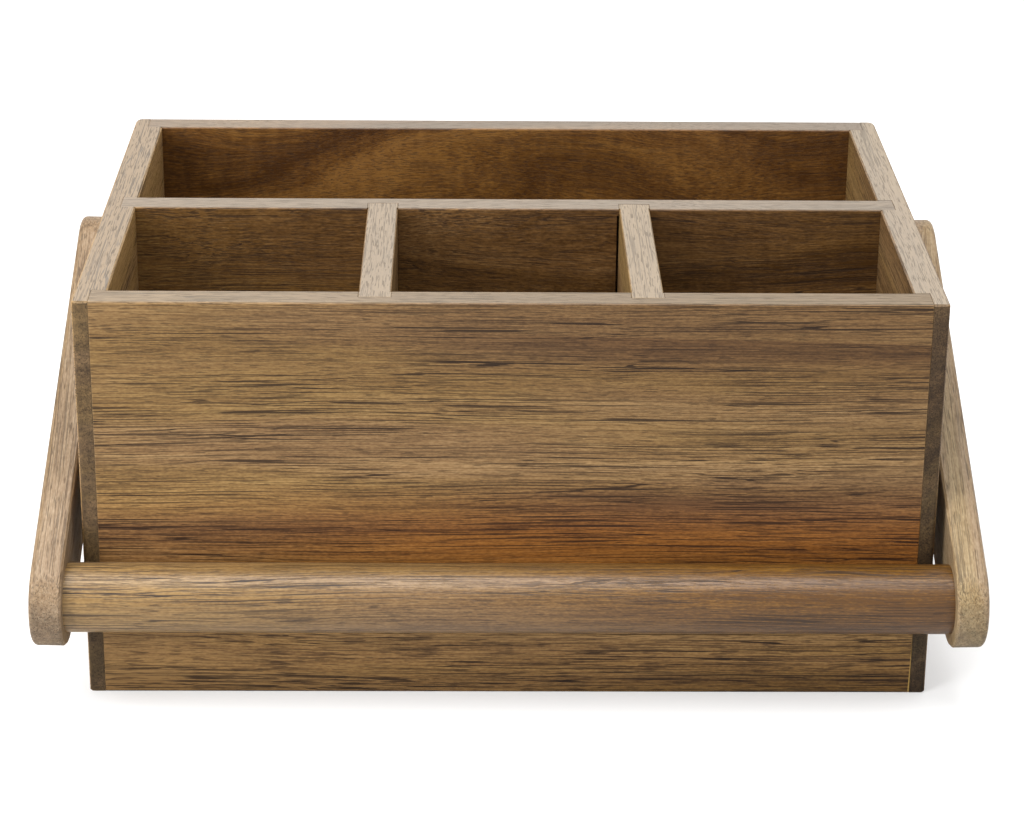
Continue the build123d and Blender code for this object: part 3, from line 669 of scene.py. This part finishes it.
def plain_metal(name, colour, rough, metal):
    """A plated or moulded finish with a faint haze."""
    finish = bpy.data.materials.new(name)
    finish.use_nodes = True
    tree = finish.node_tree
    shader = tree.nodes["Principled BSDF"]
    place = fitted(tree, "ShaderNodeTexCoord", {}).outputs["Object"]
    haze_feeds = {"Vector": place, "Scale": 900.0, "Detail": 4.0}
    haze = fitted(tree, "ShaderNodeTexNoise", haze_feeds).outputs["Fac"]
    dull = [shade * 0.8 for shade in colour[:3]] + [1]
    tree.links.new(blend_of(tree, haze, dull, colour), shader.inputs["Base Color"])
    hazed = stretch(tree, haze, 0.3, 0.7, rough - 0.06, rough + 0.1)
    tree.links.new(hazed, shader.inputs["Roughness"])
    shader.inputs["Metallic"].default_value = metal
    relief_feeds = {"Height": haze, "Strength": 0.2, "Distance": 0.00005}
    relief = fitted(tree, "ShaderNodeBump", relief_feeds)
    tree.links.new(relief.outputs[0], shader.inputs["Normal"])
    return finish


zinc = plain_metal("zinc_plate", (0.62, 0.62, 0.60, 1), 0.3, 1.0)
HEAD_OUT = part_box("pivot_bolts")[1].x
HEAD_RADIUS, HEAD_THICK, SHOULDER, THREAD, SOCKET = 0.008, 0.0024, 0.004, 0.003, 0.0025
PANEL, THREAD_PITCH = 0.012, 0.001
SIDE_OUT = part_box("right_side")[1].x
SIDE_IN = SIDE_OUT - PANEL
head_seat = HEAD_OUT - HEAD_THICK
bolt_rings = [
    (HEAD_OUT - 0.0017, SOCKET * 0.1), (HEAD_OUT - 0.0015, hexagon(SOCKET)),
    (HEAD_OUT - 0.00015, hexagon(SOCKET)), (HEAD_OUT, SOCKET * 1.25), (HEAD_OUT, 0.0046),
    (HEAD_OUT - 0.0002, 0.0060), (HEAD_OUT - 0.0006, 0.0071), (HEAD_OUT - 0.0011, 0.0077),
    (HEAD_OUT - 0.0017, HEAD_RADIUS), (head_seat + 0.0002, HEAD_RADIUS),
    (head_seat, HEAD_RADIUS - 0.0002),
    (head_seat, SHOULDER), (SIDE_OUT + 0.0002, SHOULDER), (SIDE_OUT, SHOULDER - 0.0002),
    (SIDE_OUT, THREAD - 0.0003),
]
bolt_rings += threaded(SIDE_OUT - 0.0006, SIDE_IN, THREAD - 0.0004, THREAD, THREAD_PITCH)
bolt_rings += [(SIDE_IN - 0.0004, THREAD - 0.0005), (SIDE_IN - 0.001, THREAD - 0.001)]
fasten("shoulder_bolts", turned("shoulder_bolt", bolt_rings), PIVOT, zinc,
       "pivot_bolts", "box")

# ---- Sleeve nuts ---------------------------------------------------------------------------
# Zinc-plated barrel nuts from inside the back compartment, with a low domed flange and a hex
# socket. The bolts screw into their barrels.
FLANGE_THICK, FLANGE_RADIUS, BARREL = 0.002, 0.0075, 0.009
FLANGE_OUT = SIDE_IN - FLANGE_THICK
nut_rings = [
    (FLANGE_OUT + 0.0008, SOCKET * 0.1), (FLANGE_OUT + 0.0007, hexagon(SOCKET)),
    (FLANGE_OUT + 0.0001, hexagon(SOCKET)), (FLANGE_OUT, SOCKET * 1.25), (FLANGE_OUT, 0.0044),
    (FLANGE_OUT + 0.0002, 0.0060), (FLANGE_OUT + 0.0006, 0.0069), (FLANGE_OUT + 0.0012, 0.0074),
    (FLANGE_OUT + 0.0016, FLANGE_RADIUS), (SIDE_IN, FLANGE_RADIUS), (SIDE_IN, SHOULDER),
    (SIDE_IN + 0.0088, SHOULDER), (SIDE_IN + BARREL, SHOULDER - 0.0002),
    (SIDE_IN + BARREL, THREAD),
    (SIDE_IN - 0.001, THREAD), (SIDE_IN - 0.001, THREAD * 0.1),
]
fasten("barrel_nuts", turned("barrel_nut", nut_rings), PIVOT, zinc,
       "sleeve_nuts", "box")

# ---- Spacer washers ------------------------------------------------------------------------
# Dark nylon rings that keep the arms off the side panels, their corners a little rounded.
nylon = plain_metal("dark_nylon", (0.02, 0.02, 0.021, 1), 0.45, 0.0)
WASHER_THICK, WASHER_HOLE, WASHER_RIM, ROUNDED = 0.0008, 0.00405, 0.008, 0.0002
WASHER_LOW, WASHER_HIGH = SIDE_OUT, SIDE_OUT + WASHER_THICK
washer_rings = [
    (WASHER_LOW, WASHER_HOLE + ROUNDED), (WASHER_LOW, WASHER_RIM - ROUNDED),
    (WASHER_LOW + ROUNDED, WASHER_RIM), (WASHER_HIGH - ROUNDED, WASHER_RIM),
    (WASHER_HIGH, WASHER_RIM - ROUNDED), (WASHER_HIGH, WASHER_HOLE + ROUNDED),
    (WASHER_HIGH - ROUNDED, WASHER_HOLE), (WASHER_LOW + ROUNDED, WASHER_HOLE),
]
fasten("nylon_washers", turned("nylon_washer", washer_rings, closed=True), PIVOT, nylon,
       "spacer_washers", "box")

# ---- Bar screws ----------------------------------------------------------------------------
# Countersunk zinc-plated wood screws through the arms into the bar's ends: a flat head with a
# cross recess, a coarse thread and a point.
SCREW_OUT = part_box("bar_screws")[1].x
SCREW_LONG, SCREW_HEAD, SCREW_CREST, SCREW_CORE, SCREW_PITCH = 0.045, 0.0045, 0.0022, 0.0015, 0.002
SCREW_TIP = SCREW_OUT - SCREW_LONG
screw_rings = [
    (SCREW_OUT - 0.0022, 0.0002), (SCREW_OUT - 0.0016, cross(0.0011, 0.0004)),
    (SCREW_OUT - 0.0001, cross(0.0024, 0.0006)), (SCREW_OUT, cross(0.0026, 0.0008)),
    (SCREW_OUT, 0.0036), (SCREW_OUT - 0.0001, SCREW_HEAD - 0.0001),
    (SCREW_OUT - 0.0003, SCREW_HEAD - 0.0002),
    (SCREW_OUT - 0.0023, SCREW_CREST), (SCREW_OUT - 0.010, SCREW_CREST - 0.0001),
]
screw_rings += threaded(SCREW_TIP + 0.006, SCREW_OUT - 0.0105, SCREW_CORE, SCREW_CREST,
                        SCREW_PITCH)[::-1]
screw_rings += [(SCREW_TIP + 0.003, SCREW_CORE * 0.5), (SCREW_TIP, 0.0001)]
fasten("countersunk_screws", turned("countersunk_screw", screw_rings), BAR_CENTRE, zinc,
       "bar_screws", "handle")
